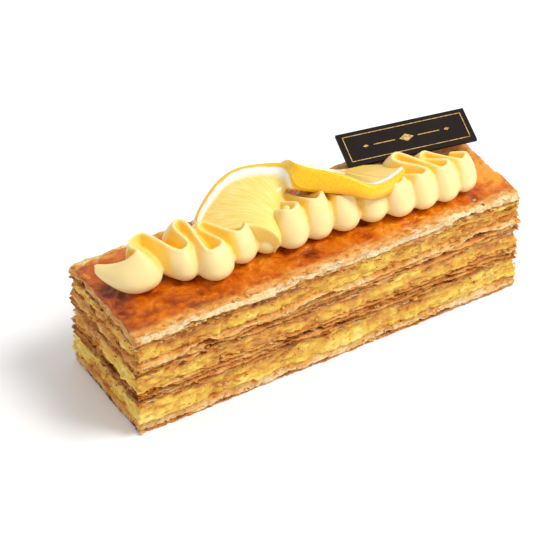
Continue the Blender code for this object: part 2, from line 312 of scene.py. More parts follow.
# %% Caramel glaze
def caramel_glaze():
    mat = new_finish("caramel glaze")
    where = add(mat, "TexCoord", out="Object")
    glaze = add(mat, "Attribute", attribute_name="glaze", out="Fac")
    pool = add(mat, "Attribute", attribute_name="pool", out="Fac")
    blotch = add(mat, "TexNoise", {"Vector": where, "Scale": 300.0, "Detail": 7.0,
                                   "Roughness": 0.68, "Distortion": 1.2}, out="Fac")
    drawn = add(mat, "Mapping", {"Vector": where, "Scale": (0.45, 0.8, 1.0)})
    fine = add(mat, "TexNoise", {"Vector": drawn, "Scale": 1100.0, "Detail": 4.0,
                                 "Roughness": 0.6}, out="Fac")
    level = add(mat, "Math", {0: blotch, 1: 0.9, 2: pool}, operation="MULTIPLY_ADD")
    caramel = add(mat, "ValToRGB", {"Fac": level}, stops=[
        (0.15, "#702800"), (0.34, "#A44400"), (0.52, "#C45A00"), (0.72, "#DA7400"),
        (0.92, "#EE9C2C")])
    crackle = add(mat, "ValToRGB", {"Fac": fine}, stops=[
        (0.3, "#B4601A"), (0.44, "#D48C3C"), (0.58, "#E2A65C"), (0.76, "#F0CC98")])
    dough = add(mat, "ValToRGB", {"Fac": fine}, stops=[
        (0.3, "#B08456"), (0.42, "#D6B284"), (0.55, "#E8CEA6"), (0.75, "#F4E6CC")])
    low_part = add(mat, "MapRange", {"Value": glaze, "From Min": 0.0, "From Max": 0.5})
    high_part = add(mat, "MapRange", {"Value": glaze, "From Min": 0.5, "From Max": 1.0})
    dry = add(mat, "Mix", {0: low_part, 6: dough, 7: crackle}, out=2, data_type="RGBA")
    colour = add(mat, "Mix", {0: high_part, 6: dry, 7: caramel}, out=2, data_type="RGBA")
    relief = add(mat, "Math", {0: fine, 1: 0.5, 2: blotch}, operation="MULTIPLY_ADD")
    bump = add(mat, "Bump", {"Height": relief, "Strength": 0.8, "Distance": 0.0007})
    coat = add(mat, "MapRange", {"Value": glaze, "From Min": 0.5, "From Max": 0.9})
    rough = add(mat, "MapRange", {"Value": glaze, "To Min": 0.7, "To Max": 0.34})
    thin = add(mat, "Math", {0: coat, 1: 0.55}, operation="MULTIPLY")
    shader = add(mat, "BsdfPrincipled", {"Base Color": colour, "Roughness": rough,
                                         "Normal": bump, "Coat Weight": thin,
                                         "Coat Normal": bump, "Specular Tint": "#E8883C",
                                         "Coat Roughness": 0.05, "Coat IOR": 1.5,
                                         "IOR": 1.48, "Subsurface Weight": 0.1,
                                         "Subsurface Radius": (1.0, 0.4, 0.1),
                                         "Subsurface Scale": 0.0006})
    return show(mat, shader)


glaze_finish = caramel_glaze()
print("made", glaze_finish.name)

# %% [markdown]
# ## A blank band
# From the side the slice is a pile of thin beds: each has a torn face one to five millimetres
# high that leans out to a ragged lip, and under many lips a dark slit opens. Only the faces
# show, so a bed needs no middle. By hand: a plane of the slice's size, its face deleted, its
# edges divided into steps of about 0.4 mm, the outline extruded down in rows for the face, and
# the top and bottom loops extruded inwards and bridged. The blank is one millimetre high and is
# copied for every bed.

# %% The blank band
def divide_outline(obj, step):
    """Divide the edges of a rectangle into steps, one direction at a time."""
    for along, length in ((0, LENGTH), (1, WIDTH)):
        for cuts in (9, int(length / step / 10)):
            mesh = bmesh.from_edit_mesh(obj.data)
            for edge in mesh.edges:
                way = edge.verts[1].co - edge.verts[0].co
                edge.select_set(abs(way[along]) > abs(way[1 - along]))
            bmesh.update_edit_mesh(obj.data)
            bpy.ops.mesh.subdivide(number_cuts=cuts)


def pick_loop(obj, wanted):
    """Select the open edges whose two ends pass a test, in millimetres."""
    mesh = bmesh.from_edit_mesh(obj.data)
    for edge in mesh.edges:
        edge.select_set(len(edge.link_faces) < 2 and all(wanted(v.co / MM) for v in edge.verts))
    bmesh.update_edit_mesh(obj.data)


def blank_band(rows, insets=(1.2, 4.0)):
    drop_selection()
    bpy.ops.mesh.primitive_plane_add(size=1.0)
    band = bpy.context.object
    bpy.ops.object.mode_set(mode="EDIT")
    bpy.ops.mesh.select_mode(type="EDGE")
    bpy.ops.transform.resize(value=(LENGTH * MM, WIDTH * MM, 1))
    bpy.ops.mesh.delete(type="ONLY_FACE")
    divide_outline(band, 0.36)
    bpy.ops.mesh.select_all(action="SELECT")
    for _ in range(rows):
        bpy.ops.mesh.extrude_region_move(
            TRANSFORM_OT_translate={"value": (0, 0, -MM / rows)})
    for level in (0.0, -1.0):
        pick_loop(band, lambda at: abs(at.z - level) < 0.01)
        done = 0.0
        for inset in insets:
            bpy.ops.mesh.extrude_region_move()
            bpy.ops.transform.resize(value=((LENGTH - 2 * inset) / (LENGTH - 2 * done),
                                            (WIDTH - 2 * inset) / (WIDTH - 2 * done), 1))
            done = inset
    pick_loop(band, lambda at: True)
    bpy.ops.mesh.bridge_edge_loops()
    bpy.ops.mesh.select_all(action="SELECT")
    bpy.ops.mesh.normals_make_consistent(inside=False)
    bpy.ops.mesh.select_mode(type="VERT")
    bpy.ops.object.mode_set(mode="OBJECT")
    return band


blanks = {rows: blank_band(rows) for rows in (4, 7, 20)}
for rows, band in blanks.items():
    print("blank with", rows, "rows:", len(band.data.polygons), "faces")

# %% [markdown]
# ## Tearing a bed
# A copy of the blank is stretched to the bed's height and torn. The seams between beds wave
# together, so that neighbours meet; the lip reaches out in coarse and fine teeth; under the lip
# the bed lifts off its neighbour in long narrow slits. How far down its face a point lies is
# kept for painted shade and light: the dough is painted darker under the bed above, where shade
# falls, and paler at the lip, partly its pale crust and partly painted light.

# %% One torn bed
def seam(level, x, y):
    """The height of the seam that lies at `level` on average."""
    flat = np.stack([x, y, np.full(len(x), level * 2.3)], 1)
    calm = 0.0 if level < 0.1 else 1.0
    return level + calm * (0.5 * unevenness(flat, (13.0, 13.0, 6.0), 900, 2)
                           + 0.22 * unevenness(flat, (3.5, 3.5, 2.0), 901, 2))


def torn_band(bottom, top, rows, reach, back, lip, slit, seed):
    source = blanks[rows]
    only(source)
    bpy.ops.object.duplicate()
    band = bpy.context.object
    p = points_of(band)
    x, y, t = p[:, 0].copy(), p[:, 1].copy(), -p[:, 2]
    inset = np.minimum(LENGTH / 2 - abs(x), WIDTH / 2 - abs(y))
    flat = np.stack([x, y, 0 * x], 1)
    gap = np.clip(unevenness(flat + [0, 0, 21.0 * seed], (8.0, 8.0, 1.0), seed + 300, 2)
                  + 0.02, 0, 1) * slit * 1.9
    teeth = unevenness(flat + [0, 0, 11.0 * seed], 0.9, seed + 400, 2)
    low = seam(bottom, x, y) + gap * np.clip(1 - inset / 9, 0, 1) + 0.2 * teeth * (bottom > 0.1)
    high = np.maximum(seam(top, x, y), low + 0.12)
    z = high + (low - high) * t
    grain = unevenness(np.stack([x, y, z * 3.2 + 13.0 * seed], 1), 2.6, seed + 500)
    fine = unevenness(np.stack([x, y, z * 2.0 + 17.0 * seed], 1), 0.8, seed + 600, 2)

    def outward(across, sign):
        place = np.stack([across, 40.0 * sign, np.full(len(x), 31.0 * seed)], 1)
        coarse = unevenness(place, 11.0, seed)
        small = unevenness(place, 1.3, seed + 50)
        shape = lip * t**2 - back * (1 - t) ** 2.5
        return (reach + 0.42 * coarse + (0.12 + 0.2 * t) * small + shape
                + 0.22 * grain + 0.12 * fine)

    ends = np.clip(1 - (LENGTH / 2 - abs(x)) / 4.0, 0, 1)
    sides = np.clip(1 - (WIDTH / 2 - abs(y)) / 4.0, 0, 1)
    p[:, 0] = x + np.sign(x) * ends * outward(y, np.sign(x))
    p[:, 1] = y + np.sign(y) * sides * outward(x, np.sign(y))
    p[:, 2] = np.maximum(z, 0.0)
    set_points(band, p)
    return band, p, t, grain, fine, inset


def joined(parts):
    """Join several meshes into the first of them."""
    drop_selection()
    for part in parts:
        part.select_set(True)
    bpy.context.view_layer.objects.active = parts[0]
    bpy.ops.object.join()
    return parts[0]


# %% [markdown]
# ## The pastry bands
# Each pastry band is a short list of beds: bottom, top, rows of faces, how far the face stands
# out, how far its top is drawn back, how far the lip stands out, how wide the slit under it
# opens, and how well toasted it is. The base is a thin golden sole under grey porous dough; the
# two middle bands are the darkest and most broken; the lid's beds are nearly white.

# %% Beds of the four pastry bands
bed_plan = {
    "pastry_base": [(0.0, 0.7, 4, 0.1, 0.1, 0.2, 0.0, 0.6),
                    (0.7, 3.6, 7, -0.1, 0.5, 0.3, 0.4, 0.24)],
    "pastry_lower": [(9.4, 10.9, 4, 0.0, 0.6, 0.5, 0.7, 0.58),
                     (10.9, 12.2, 4, 0.2, 0.7, 0.6, 1.0, 0.56),
                     (12.2, 13.4, 4, 0.05, 0.7, 0.6, 1.0, 0.54),
                     (13.4, 14.8, 4, 0.15, 0.7, 0.6, 0.9, 0.46)],
    "pastry_upper": [(19.6, 21.1, 4, 0.1, 0.7, 0.5, 0.8, 0.5),
                     (21.1, 22.6, 4, 0.2, 0.7, 0.6, 0.9, 0.46),
                     (22.6, 24.8, 7, 0.05, 0.8, 0.6, 0.9, 0.38)],
    "pastry_top": [(29.3, 30.8, 4, -0.2, 0.5, 0.4, 0.6, 0.42),
                   (30.8, 32.7, 7, 0.15, 0.3, 0.3, 0.7, 0.1)],
}
seed = 1
for node, rows in bed_plan.items():
    beds = []
    for bottom, top, count, reach, back, lip, slit, toast_and_shade in rows:
        bed, p, t, grain, fine, inset = torn_band(bottom, top, count, reach, back, lip, slit, seed)
        # Painted shade and light in the toast and shade value: it rises under the bed above (painted
        # shade under the lip) and on the inner faces of the slits (painted shade in the gaps); it falls
        # towards the lip, partly its pale crust and partly painted light.
        painted_shade_under = (1 - t) ** 2
        depth = 0.34 if toast_and_shade > 0.1 else 0.1
        patch = unevenness(p + 60, (9.0, 9.0, 3.0), seed + 70)
        ends = np.clip((abs(p[:, 0]) - LENGTH / 2 + 1.5) / 1.0, 0, 1)
        mark(bed, "toast_and_shade", np.clip(toast_and_shade + depth * painted_shade_under - 0.22 * t**6 + 0.12 * grain
                                   + 1.3 * depth * np.clip(inset / 1.5, 0, 1) - 0.06
                                   + 0.16 * patch + (0.45 if node == "pastry_top" else 0.2) * ends, 0, 1))
        beds.append(bed)
        seed += 1
    whole = joined(beds)
    whole.data.shade_smooth()
    slot = "caramel_glaze" if node == "pastry_top" else "flaky_pastry"
    finish_piece(whole, node + "_beds", pastry_finish, slot, node)

# %% [markdown]
# ## The custard bands
# A custard band is a bed too, but a tall soft one. It bulges where the knife pressed it, and it
# is drawn back under the pastry above. The dirt and shade value holds crumbs dragged over it
# and painted shade and light: most at the top, where the pastry breaks and painted shade lies
# under the pastry above; it is painted lighter where the face bulges out and darker where it sinks in.

# %% Custard faces
for node, bottom, top, reach, dirt_and_shade in (("cream_lower", 3.5, 9.7, 0.0, 0.0),
                                       ("cream_middle", 14.6, 19.9, 0.05, 0.14),
                                       ("cream_upper", 24.6, 29.7, 0.0, 0.08)):
    bed, p, t, grain, fine, inset = torn_band(bottom, top, 20, reach, 0.5, 0.1, 0.25, seed)
    lump = unevenness(p, (11.0, 11.0, 3.2), seed)
    pit = unevenness(p + 20, (2.4, 2.4, 1.0), seed + 30)
    push = (0.5 * lump + 0.42 * pit) * (inset < 0.01)
    p[:, 0] += np.where(abs(p[:, 0]) > LENGTH / 2 - 2.5, np.sign(p[:, 0]) * push, 0)
    p[:, 1] += np.where(abs(p[:, 1]) > WIDTH / 2 - 2.5, np.sign(p[:, 1]) * push, 0)
    set_points(bed, p)
    crumbs = np.clip(0.55 + 0.9 * unevenness(p + 40, (6.0, 6.0, 2.5), seed + 60), 0, 1.3)
    # Painted shade and light: the value rises at the top of the band under the pastry above and falls
    # where lump and pit push the face out; the crumbs noise is real dirt.
    mark(bed, "dirt_and_shade", dirt_and_shade + 0.62 * crumbs * (1 - t) ** 1.6 - 0.4 * lump - 0.25 * pit)
    bed.data.shade_smooth()
    finish_piece(bed, node + "_filling", custard_finish, "custard_cream", node)
    seed += 1

# %% [markdown]
# ## Painted shade behind the slits
# Behind the torn faces a dark block stands in for the shade deep inside the slits: painted
# shade, coloured as dark crust and only seen through the slits. A cube set back from the sides
# is enough, with its edges bevelled so that no straight corner shows.

# %% Painted shade behind the beds
def dark_shade_block(back):
    drop_selection()
    bpy.ops.mesh.primitive_cube_add(size=1.0)
    block = bpy.context.object
    bpy.ops.object.mode_set(mode="EDIT")
    bpy.ops.transform.resize(value=((LENGTH - 2 * back) * MM, (WIDTH - 2 * back) * MM, 31 * MM))
    bpy.ops.transform.translate(value=(0, 0, 16.2 * MM))
    bpy.ops.mesh.bevel(offset=0.6 * MM, segments=2)
    bpy.ops.object.mode_set(mode="OBJECT")
    # Painted shade: the block gets the colour of dark crust so that the slits look deep in shadow.
    mark(block, "toast_and_shade", np.full(len(block.data.vertices), 0.95))
    return block


finish_piece(dark_shade_block(2.6), "painted_shade_block", pastry_finish, "flaky_pastry")

# %% [markdown]
# ## Torn shreds
# The knife leaves shreds of leaf hanging from every bed. A shred is a wedge with a saw-toothed
# tip, rooted inside the wall: eight stations of three points, so forty-odd triangles. Thousands
# of them are made in one go, because a shred on its own is far too small to model by hand.

# %% Shreds along the four sides
def shreds(count, levels, spread, size, reach, toast_and_shade, seed):
    pick = np.random.default_rng(seed)
    n = 8
    q = np.linspace(0, 1, n)
    run = pick.uniform(0, 2 * (LENGTH + WIDTH), count)
    z = pick.choice(levels, count) + pick.normal(0, spread, count)
    z = np.clip(z, 0.5, 33.0)
    long_way = size * pick.uniform(0.4, 1.6, count) * pick.choice([0.5, 1, 1.6], count)
    out = reach * pick.uniform(0.4, 1.3, count)
    thick = pick.uniform(0.06, 0.24, count)
    fall = pick.uniform(-0.1, 0.5, count)
    slope = pick.normal(0, 0.05, count)
    corners = np.array([[-LENGTH / 2, -WIDTH / 2], [LENGTH / 2, -WIDTH / 2],
                        [LENGTH / 2, WIDTH / 2], [-LENGTH / 2, WIDTH / 2]])
    starts = np.cumsum([0, LENGTH, WIDTH, LENGTH])
    side = np.searchsorted(starts, run, side="right") - 1
    way = np.array([[1, 0], [0, 1], [-1, 0], [0, -1]])[side]
    face = np.array([[0, -1], [1, 0], [0, 1], [-1, 0]])[side]
    at = corners[side] + way * (run - starts[side])[:, None]
    points = np.empty((count, n, 3, 3))
    jag = np.sin(np.pi * q)[None] ** 0.6 * pick.uniform(0.5, 1.1, (count, n))
    for k, (depth, lift) in enumerate(((-1.0, 0.5), (1.0, 0.0), (-1.0, -0.5))):
        s = (q[None] - 0.5) * long_way[:, None]
        d = (out[:, None] * jag if depth > 0 else np.full((count, n), -1.0))
        points[:, :, k, :2] = (at[:, None] + way[:, None] * s[..., None]
                               + face[:, None] * d[..., None])
        points[:, :, k, 2] = (z[:, None] + slope[:, None] * s + lift * thick[:, None]
                              - (fall[:, None] * jag if depth > 0 else 0)
                              + 0.06 * pick.normal(size=(count, n)))
    limit = np.array([LENGTH / 2 + 1.0, WIDTH / 2 + 1.0])
    points[..., :2] = np.clip(points[..., :2], -limit, limit)
    points[..., 2] = np.maximum(points[..., 2], 0.02)
    one = [(3 * i + a, 3 * i + b, 3 * i + 3 + b, 3 * i + 3 + a)
           for i in range(n - 1) for a, b in ((0, 1), (1, 2), (2, 0))]
    one += [(2, 1, 0, 0), (3 * n - 3, 3 * n - 2, 3 * n - 1, 3 * n - 3)]
    faces = (np.array(one)[None] + (3 * n * np.arange(count))[:, None, None]).reshape(-1, 4)
    mesh = bpy.data.meshes.new("shreds")
    mesh.from_pydata((points.reshape(-1, 3) * MM).tolist(), [],
                     [tuple(dict.fromkeys(f)) for f in faces.tolist()])
    obj = bpy.data.objects.new("shreds", mesh)
    bpy.context.collection.objects.link(obj)
    tint = np.clip(toast_and_shade + 0.17 * pick.normal(size=count), 0, 1)
    mark(obj, "toast_and_shade", np.repeat(tint, 3 * n))
    return obj


seams = [0.7, 9.4, 10.9, 12.2, 13.4, 14.6, 19.6, 21.1, 22.6, 24.6, 29.3, 30.8]
finish_piece(shreds(1500, seams, 0.35, 2.6, 0.5, 0.4, 5), "torn_shreds", pastry_finish,
             "flaky_pastry")
finish_piece(shreds(350, [10, 11, 12, 13, 20.5, 22, 23.5, 29, 30], 0.8, 1.9, 0.5, 0.6, 6),
             "toasted_shreds", pastry_finish, "flaky_pastry")
finish_piece(shreds(260, [31.0, 31.6, 32.3], 0.3, 1.8, 0.5, 0.05, 7), "pale_shreds",
             pastry_finish, "caramel_glaze")

# %% [markdown]
# ## The glazed lid
# The lid's top is the first thing the eye meets: blistered, wrinkled and shiny. A grid gives
# enough points for wrinkles of one to five millimetres. Its rim is extruded down for a torn
# skirt, and the underside is capped. The rise of each point is kept as pool, so that caramel
# is darkest in the hollows, and the distance from the long sides as glaze.

# %% The glazed top of the lid
def glazed_top():
    low, high = box_mm("pastry_top")
    drop_selection()
    bpy.ops.mesh.primitive_grid_add(x_subdivisions=320, y_subdivisions=96, size=1.0)
    top = bpy.context.object
    bpy.ops.object.mode_set(mode="EDIT")
    bpy.ops.transform.resize(value=(LENGTH * MM, WIDTH * MM, 1))
    bpy.ops.transform.translate(value=(0, 0, 33.0 * MM))
    mesh = bmesh.from_edit_mesh(top.data)
    for edge in mesh.edges:
        edge.select_set(edge.is_boundary)
    bmesh.update_edit_mesh(top.data)
    bpy.ops.mesh.extrude_region_move(TRANSFORM_OT_translate={"value": (0, 0, -0.5 * MM)})
    bpy.ops.mesh.edge_face_add()
    bpy.ops.mesh.select_all(action="SELECT")
    bpy.ops.mesh.normals_make_consistent(inside=False)
    bpy.ops.object.mode_set(mode="OBJECT")
    p = points_of(top)
    x, y = p[:, 0].copy(), p[:, 1].copy()
    skirt = p[:, 2] < 32.8
    flat = np.stack([x, y, 0 * x], 1)
    broad = unevenness(flat, 9.0, 11)
    ridge = 1 - 2 * abs(unevenness(flat + 5, 4.2, 12))
    fine = unevenness(flat + 9, 1.2, 13)
    side = WIDTH / 2 - abs(y)
    end = LENGTH / 2 - abs(x)
    rim = np.minimum(side + 0.4, end + 1.5)
    drop = 0.9 * np.clip(1 - rim / 2.6, 0, 1) ** 2
    p[:, 2] += np.where(skirt, 0, 0.2 * broad + 0.26 * ridge + 0.14 * fine) - drop + 0.15
    ends = np.clip(1 - end / 3, 0, 1) ** 1.5
    sides = np.clip(1 - side / 3, 0, 1) ** 1.5
    for axis, fall, across in ((0, ends, y), (1, sides, x)):
        sign = np.sign(p[:, axis])
        place = np.stack([across, 40.0 * sign, 0 * across], 1)
        ragged = 0.5 * unevenness(place, 6.0, 21) + 0.3 * unevenness(place, 1.2, 22)
        p[:, axis] += sign * fall * (ragged - 0.1)
    set_points(top, p)
    border = side + 0.8 * unevenness(flat, 5.0, 31) + 0.6 * unevenness(flat, 1.6, 32)
    border = np.minimum(border, end + 3.6 + 0.8 * unevenness(flat, 3.0, 33))
    tan = np.clip((border + 0.5) / 0.8, 0, 1) * (~skirt | (end < 0.8))
    mark(top, "glaze", 0.5 * tan + 0.5 * np.clip((border - 1.9) / 1.5, 0, 1))
    # Darker towards the left end of the lid and lighter towards the right.
    left_darker = 0.14 * np.clip((10 - x) / 60, 0, 1) - 0.14 * np.clip((x - 15) / 40, 0, 1)
    mark(top, "pool", 0.08 + 0.22 * broad + 0.18 * ridge + 0.1 * fine - left_darker)
    top.data.shade_smooth()
    return finish_piece(top, "glazed_top", glaze_finish, "caramel_glaze")


top = glazed_top()

# %% [markdown]
# ## The piped ribbon
# Butter cream pushed through a petal nozzle comes out as a ribbon with a fat foot and a thin
# lip. Swung from side to side it stacks into ruffles. No primitive is close to it, so it is
# swept: one curve leads the foot, another the lip, and a teardrop is drawn between them at every
# step. A Remesh modifier welds the sweep where the ribbon touches itself, and a Smooth modifier
# takes out its steps.

# %% The way of the ribbon
LID = 33.5
BEAD, LIP, FOOT_RISE, BULGE = 3.15, 0.6, 3.4, 0.55
LOOP_X = (-36.9, -29.4, -20.4, -12.6, -5.4, 2.4, 10.5, 18.9, 26.4, 33.6, 40.6, 47.2)
LOOP_WIDE = (2.0, 2.3, 2.2, 1.8, 2.1, 2.0, 1.9, 1.8, 1.8, 1.8, 1.8, 1.7)
LOOP_FRONT = (-4.0, -8.2, -5.6, -5.4, -7.3, -7.3, -8.1, -8.7, -10.5, -11.1, -11.4, -10.4)
LIP_RISE = (9.0, 9.0, 9.4, 6.6, 11.4, 12.0, 10.4, 9.0, 9.6, 10.2, 10.4, 9.8)
TURN_X = (-44.8, -33.9, -27.0, -18.0, -10.0, -2.0, 5.5, 13.0, 19.0, 24.6, 32.6, 40.0)
TURN_BACK = (7.0, 6.9, 5.5, 4.5, 4.0, 4.0, 4.0, 4.0, 3.6, 3.4, 2.2, -0.4)
TURN_RISE = (11.0, 11.0, 8.6, 6.2, 7.4, 9.0, 8.0, 6.6, 6.0, 5.6, 10.4, 9.6)


def through(points, steps):
    """Points along a smooth curve through the given ones."""
    p = [Vector(q) for q in points]
    p = [2 * p[0] - p[1]] + p + [2 * p[-1] - p[-2]]
    out = []
    for i in range(1, len(p) - 2):
        for s in range(steps):
            t = s / steps
            out.append(0.5 * (2 * p[i] + (p[i + 1] - p[i - 1]) * t
                              + (2 * p[i - 1] - 5 * p[i] + 4 * p[i + 1] - p[i + 2]) * t * t
                              + (3 * p[i] - p[i - 1] - 3 * p[i + 1] + p[i + 2]) * t**3))
    out.append(p[-2])
    return out


def ribbon_course():
    """The way of the fat foot and of the thin lip, as two lists of points in step."""
    foot_z = LID + FOOT_RISE
    foot = [(-58.4, 5.9, foot_z + 0.9), (-56.2, 2.4, foot_z + 0.4), (-52.6, -1.2, foot_z),
            (-46.9, -1.6, foot_z), (-45.0, 2.6, foot_z), (-46.2, 5.6, foot_z)]
    lip = [(-58.7, 6.6, LID + 6.4), (-55.8, 3.5, LID + 7.4), (-52.4, 0.7, LID + 9.4),
           (-49.2, 0.4, LID + 11.6), (-49.8, 3.4, LID + 11.2), (-48.4, 6.0, LID + 11.0)]
    for n, (x, y) in enumerate(zip(LOOP_X, LOOP_FRONT)):
        tx, ty, wide = TURN_X[n], TURN_BACK[n], LOOP_WIDE[n]
        foot += [(tx - 0.2, ty + 1.0, foot_z), (tx + 1.8, ty - 0.8, foot_z),
                 (x - wide, y + 2.6, foot_z), (x, y + 0.2, foot_z),
                 (x + wide, y + 2.8, foot_z)]
        rise, high = LID + LIP_RISE[n], LID + TURN_RISE[n]
        lip += [(tx, ty, high), (tx + 1.9, ty - 2.4, high),
                (x - wide - 0.2, y + 2.6, rise + 0.2), (x + 0.2, y + 1.5, rise),
                (x + wide + 0.3, y + 3.0, rise + 0.5)]
        if n + 1 < len(LOOP_X):
            bx, by = TURN_X[n + 1], TURN_BACK[n + 1]
            foot.append((bx - 1.5, by - 1.4, foot_z))
            lip.append((bx - 1.9, by - 2.6, LID + TURN_RISE[n + 1]))
    foot.append((47.0, -3.8, foot_z))
    lip.append((46.2, -3.8, LID + TURN_RISE[-1] - 0.6))
    return foot, lip


print("the ribbon swings through", len(LOOP_X), "loops")

# %% Sweeping the ribbon
def swept_ribbon(steps, arc):
    foot, lip = (through(way, steps) for way in ribbon_course())
    count = len(foot)
    points, faces = [], []
    for i in range(count):
        ahead = (foot[min(i + 1, count - 1)] - foot[max(i - 1, 0)]).normalized()
        rise = (lip[i] - foot[i]).normalized()
        side = ahead.cross(rise).normalized()
        taper = min(1.0, 0.25 + i / (3.0 * steps), 0.45 + (count - 1 - i) / (2.0 * steps))
        for j in range(arc):
            a = math.pi * j / (arc - 1)
            points.append(foot[i] + BEAD * taper * (math.cos(a) * side - math.sin(a) * rise))
        flanks = [(f, foot[i].lerp(lip[i], f), BEAD * taper * (1 - f) + LIP * f
                   + BULGE * math.sin(math.pi * f)) for f in (0.25, 0.5, 0.75)]
        points += [middle - half * side for f, middle, half in flanks]
        for j in range(arc):
            a = math.pi * j / (arc - 1)
            points.append(lip[i] + LIP * (math.sin(a) * rise - math.cos(a) * side))
        points += [middle + half * side for f, middle, half in reversed(flanks)]
    ring = 2 * arc + 6
    for i in range(count - 1):
        for j in range(ring):
            a, b = i * ring + j, i * ring + (j + 1) % ring
            faces.append((a, b, b + ring, a + ring))
    faces.append(tuple(range(ring)))
    faces.append(tuple(range((count - 1) * ring, count * ring)))
    mesh = bpy.data.meshes.new("ribbon")
    mesh.from_pydata([p * MM for p in points], [], faces)
    obj = bpy.data.objects.new("ribbon", mesh)
    bpy.context.collection.objects.link(obj)
    only(obj)
    bpy.ops.object.mode_set(mode="EDIT")
    bpy.ops.mesh.select_all(action="SELECT")
    bpy.ops.mesh.normals_make_consistent(inside=False)
    bpy.ops.object.mode_set(mode="OBJECT")
    weld = obj.modifiers.new("weld", "REMESH")
    weld.mode, weld.voxel_size = "VOXEL", 0.36 * MM
    soften = obj.modifiers.new("soften", "SMOOTH")
    soften.factor, soften.iterations = 0.5, 6
    apply_all(obj)
    return obj


ribbon = swept_ribbon(10, 12)
print("ribbon:", len(ribbon.data.polygons), "faces")

# %% [markdown]
# ## The finish of butter cream
# Butter cream is butter beaten with custard: an even pale yellow, satin smooth, soft enough for
# light to pass through the thin lips. In the folds light bounces from wall to wall and the
# yellow deepens; the value called fold, measured from how much of the sky each point can see,
# carries that.

# %% How deep in a fold each point lies
def fold_depth(obj, reach, rays):
    """The share of rays from each vertex that hit the same mesh within `reach` mm."""
    from mathutils.bvhtree import BVHTree
    mesh = bmesh.new()
    mesh.from_mesh(obj.data)
    tree = BVHTree.FromBMesh(mesh)
    mesh.free()
    pick = np.random.default_rng(4)
    ways = pick.normal(size=(rays, 3))
    ways /= np.linalg.norm(ways, axis=1)[:, None]
    ways = [Vector(w) for w in ways]
    hits = np.zeros(len(obj.data.vertices))
    for i, vertex in enumerate(obj.data.vertices):
        normal = vertex.normal
        start = vertex.co + normal * 0.0001
        for way in ways:
            aim = (way + normal * 1.05).normalized()
            if tree.ray_cast(start, aim, reach * MM)[0] is not None:
                hits[i] += 1
    return hits / rays


mark(ribbon, "fold", fold_depth(ribbon, 9.0, 10))


# %% Butter cream
def butter_cream():
    mat = new_finish("butter cream")
    where = add(mat, "TexCoord", out="Object")
    fold = add(mat, "Attribute", attribute_name="fold", out="Fac")
    cloud = add(mat, "TexNoise", {"Vector": where, "Scale": 220.0, "Detail": 2.0}, out="Fac")
    level = add(mat, "Math", {0: cloud, 1: 0.12, 2: fold}, operation="MULTIPLY_ADD")
    colour = add(mat, "ValToRGB", {"Fac": level}, stops=[
        (0.04, "#FBE0A0"), (0.3, "#FBD67A"), (0.6, "#FCCC3C"), (0.95, "#FABE18")])
    fine = add(mat, "TexNoise", {"Vector": where, "Scale": 800.0, "Detail": 2.0}, out="Fac")
    bump = add(mat, "Bump", {"Height": fine, "Strength": 0.06, "Distance": 0.0003})
    shader = add(mat, "BsdfPrincipled", {"Base Color": colour, "Roughness": 0.38,
                                         "Normal": bump, "Subsurface Weight": 0.35,
                                         "Subsurface Radius": (1.0, 0.7, 0.3),
                                         "Subsurface Scale": 0.0016,
                                         "IOR": 1.45})
    return show(mat, shader)


ribbon.data.shade_smooth()
cream_finish = butter_cream()
finish_piece(ribbon, "piped_ribbon", cream_finish, "piped_butter_cream", "piped_cream")

# %% [markdown]
# ## The lemon
# Half a round of lemon, some five millimetres thick, is twisted so that its left lobe faces the
# front and its right lobe lies back. The surface is a grid wrapped round that shape: one way
# runs along the cut edge, the other round the section. Natural splines through seven stations
# give the lean, lift and drift of the twist.

# %% The twist of the lemon
LEMON_R = 28.3
LEMON_AT = (1.8, 2.35, 41.4)
LEMON_YAW, LEMON_PITCH = -18.05, -15.45
STATIONS = (-1, -0.6, -0.25, 0, 0.25, 0.6, 1)
LEMON_TWIST = (77.5, 83.7, 43.4, -47.0, -61.5, -68.2, -67.9)
LEMON_LIFT = (-12.1, -2.8, 1.2, 4.0, 6.5, 6.7, 8.8)
LEMON_SWAY = (0.9, 7.1, 4.5, 2.9, -0.9, -3.7, 0.9)
LEMON_SLIDE = (1.5, 1.2, 2.2, -2.6, 0.3, 0.3, -0.3)
LEMON_THICK = (5.4, 6.0, 6.8, 4.4, 4.5)
LEMON_HINGE, LEMON_BACK = 0.84, 11.0
PLAQUE_FOOT = (41.1, 6.0, 37.9)
PLAQUE_TURN, PLAQUE_LEAN = -11.6, 74.0
PLAQUE_SLOPE = math.tan(math.radians(PLAQUE_TURN))


def natural(stations, values, at):
    """The natural cubic spline through a few values."""
    s, v = np.asarray(stations, float), np.asarray(values, float)
    n, h = len(s), np.diff(s)
    m, r = np.eye(n), np.zeros(n)
    for i in range(1, n - 1):
        m[i, i - 1:i + 2] = h[i - 1], 2 * (h[i - 1] + h[i]), h[i]
        r[i] = 6 * ((v[i + 1] - v[i]) / h[i] - (v[i] - v[i - 1]) / h[i - 1])
    c = np.linalg.solve(m, r)
    i = np.clip(np.searchsorted(s, at) - 1, 0, n - 2)
    a, b = (s[i + 1] - at) / h[i], (at - s[i]) / h[i]
    return a * v[i] + b * v[i + 1] + ((a**3 - a) * c[i] + (b**3 - b) * c[i + 1]) * h[i]**2 / 6


